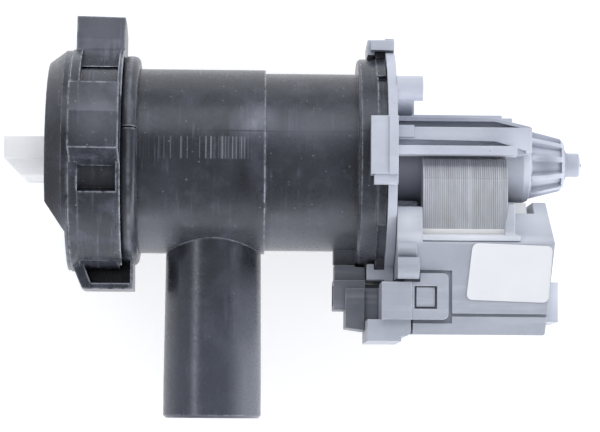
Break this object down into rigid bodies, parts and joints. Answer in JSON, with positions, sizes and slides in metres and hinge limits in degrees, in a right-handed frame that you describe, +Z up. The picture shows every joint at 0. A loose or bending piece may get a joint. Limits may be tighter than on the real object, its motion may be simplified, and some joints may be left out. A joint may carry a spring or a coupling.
{
  "type": "drain pump",
  "caption": "Electric drain pump with a lint filter tube, an inlet spigot, an outlet spigot, a front mounting collar and an open-frame motor.",
  "frame": {"origin": "centre of the front collar's face, on the pump shaft's line", "axes": "+X along the shaft from the filter handle to the motor, -Y out through the inlet spigot, +Z up from the side the pump lies on"},
  "size_m": [0.1881, 0.1317, 0.1018],
  "materials": {
    "black_moulding": "satin",
    "grey_moulding": "satin",
    "white_moulding": "satin",
    "milky_moulding": "smooth",
    "sheet_steel": "bare punched sheet edges",
    "ground_steel": "ground",
    "ferrite": "sintered",
    "sintered_bronze": "sintered",
    "copper_wire": "enamelled",
    "plated_brass": "tin plated",
    "seal_rubber": "matte",
    "label_film": "smooth"
  },
  "bodies": {
    "pump": {"pump_housing": "black_moulding", "mounting_ring": "black_moulding", "motor_frame": "grey_moulding", "stator_core": "sheet_steel", "coil_housing": "grey_moulding", "bobbin_near": "white_moulding", "bobbin_far": "white_moulding", "winding_near": "copper_wire", "winding_far": "copper_wire", "terminal_cover": "grey_moulding", "connector_shell": "grey_moulding", "terminals": "plated_brass", "wire_guide": "white_moulding", "blank_label": "label_film", "front_bearing": "sintered_bronze", "rear_bearing": "sintered_bronze", "front_bearing_mount": "seal_rubber", "rear_bearing_mount": "seal_rubber", "shaft_seal": "seal_rubber", "housing_seal": "seal_rubber"},
    "filter_slider": {"filter_seal": "seal_rubber"},
    "filter": {"filter_cap": "milky_moulding", "filter_basket": "milky_moulding"},
    "rotor": {"rotor_shaft": "ground_steel", "rotor_magnet": "ferrite", "drive_dog": "white_moulding"},
    "impeller_body": {"impeller": "white_moulding"}
  },
  "joints": [
    {"name": "filter_pull", "type": "slide", "parent": "pump", "child": "filter_slider", "axis": [-1, 0, 0], "range_m": [0, 0.1]},
    {"name": "filter_turn", "type": "hinge", "parent": "filter_slider", "child": "filter", "pos_m": [0, 0, 0], "axis": [-1, 0, 0], "range_deg": [0, 90]},
    {"name": "rotor_spin", "type": "hinge", "parent": "pump", "child": "rotor", "pos_m": [0.11, 0, 0], "axis": [1, 0, 0], "continuous": true},
    {"name": "impeller_slip", "type": "hinge", "parent": "rotor", "child": "impeller_body", "pos_m": [0.0985, 0, 0], "axis": [1, 0, 0], "range_deg": [-134, 134]}
  ]
}
